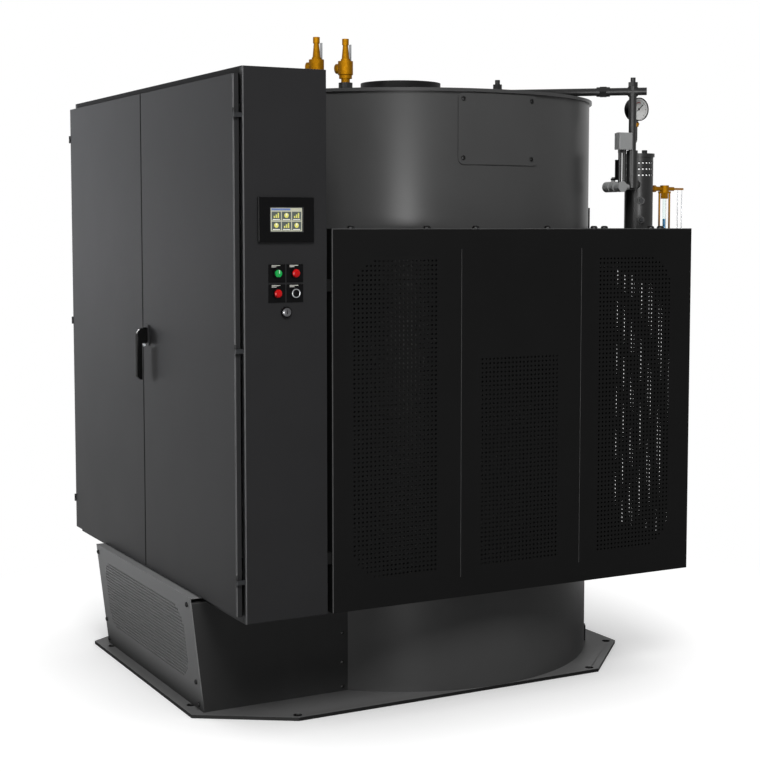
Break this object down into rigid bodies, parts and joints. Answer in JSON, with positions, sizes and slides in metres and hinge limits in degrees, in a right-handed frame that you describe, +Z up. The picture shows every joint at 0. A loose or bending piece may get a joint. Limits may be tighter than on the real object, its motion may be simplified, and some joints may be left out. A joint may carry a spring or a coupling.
{
  "type": "industrial boiler",
  "caption": "Vertical cylindrical steam boiler on a base plate, with a perforated front guard, a two-door control cabinet on an air plenum, and water-column trim.",
  "frame": {"origin": "on the vessel axis at floor level, on the underside of the base plate", "axes": "+Z up along the vessel axis, -Y towards the guard at the front, -X towards the cabinet doors"},
  "size_m": [2.202, 1.8293, 2.441],
  "materials": {
    "shell_paint": "satin",
    "cabinet_paint": "fine satin texture",
    "guard_paint": "satin black",
    "pipe_paint": "matt black",
    "grey_paint": "satin",
    "brass": "satin",
    "steel": "satin",
    "black_plastic": "matt",
    "green_plastic": "gloss",
    "screen": "gloss",
    "glass": "clear",
    "gauge_blue": "gloss"
  },
  "bodies": {
    "boiler": {"base_plate": "shell_paint", "shell": "shell_paint", "lid": "shell_paint", "flue_collar": "shell_paint", "access_panel": "shell_paint", "valve_nozzles": "pipe_paint", "left_safety_valve": "brass", "right_safety_valve": "brass", "valve_levers": "steel", "steam_nozzle": "pipe_paint", "steam_pipe": "pipe_paint", "pipe_cross": "pipe_paint", "riser_pipe": "pipe_paint", "water_column": "pipe_paint", "column_shroud": "pipe_paint", "column_cap": "pipe_paint", "water_leg": "pipe_paint", "gauge_frame": "brass", "gauge_glass": "glass", "gauge_water": "gauge_blue", "lever_chains": "steel", "pressure_gauge": "black_plastic", "gauge_siphon": "pipe_paint", "pressure_control": "grey_paint", "control_pipe": "pipe_paint", "test_valve": "grey_paint", "guard_front": "guard_paint", "guard_side": "guard_paint", "guard_brackets": "guard_paint", "plenum_walls": "shell_paint", "plenum_cover": "shell_paint", "intake_panel": "shell_paint", "cabinet_front": "cabinet_paint", "cabinet_rear": "cabinet_paint", "cabinet_floor": "cabinet_paint", "cabinet_roof": "cabinet_paint", "cabinet_wall": "cabinet_paint", "mounting_panel": "grey_paint", "door_hinges": "steel", "display_bezel": "black_plastic", "display_screen": "screen", "operators": "black_plastic"},
    "near_door": {"near_door": "cabinet_paint"},
    "far_door": {"far_door": "cabinet_paint"},
    "door_handle": {"door_handle": "black_plastic"},
    "valve_lever": {"valve_lever": "black_plastic"},
    "selector_knob": {"selector_knob": "green_plastic"}
  },
  "joints": [
    {"name": "near_door_hinge", "type": "hinge", "parent": "boiler", "child": "near_door", "pos_m": [-1.108, -0.906, 1.3235], "axis": [0, 0, 1], "range_deg": [0, 120]},
    {"name": "far_door_hinge", "type": "hinge", "parent": "boiler", "child": "far_door", "pos_m": [-1.108, 0.888, 1.3235], "axis": [0, 0, -1], "range_deg": [0, 120]},
    {"name": "door_handle_turn", "type": "hinge", "parent": "near_door", "child": "door_handle", "pos_m": [-1.122, -0.058, 1.318], "axis": [-1, 0, 0], "range_deg": [0, 90]},
    {"name": "valve_lever_turn", "type": "hinge", "parent": "boiler", "child": "valve_lever", "pos_m": [0.66, -0.55, 1.9078], "axis": [0, 0, -1], "range_deg": [0, 90]},
    {"name": "selector_turn", "type": "hinge", "parent": "boiler", "child": "selector_knob", "pos_m": [-0.9625, -0.923, 1.568], "axis": [0, -1, 0], "range_deg": [-45, 45]}
  ]
}
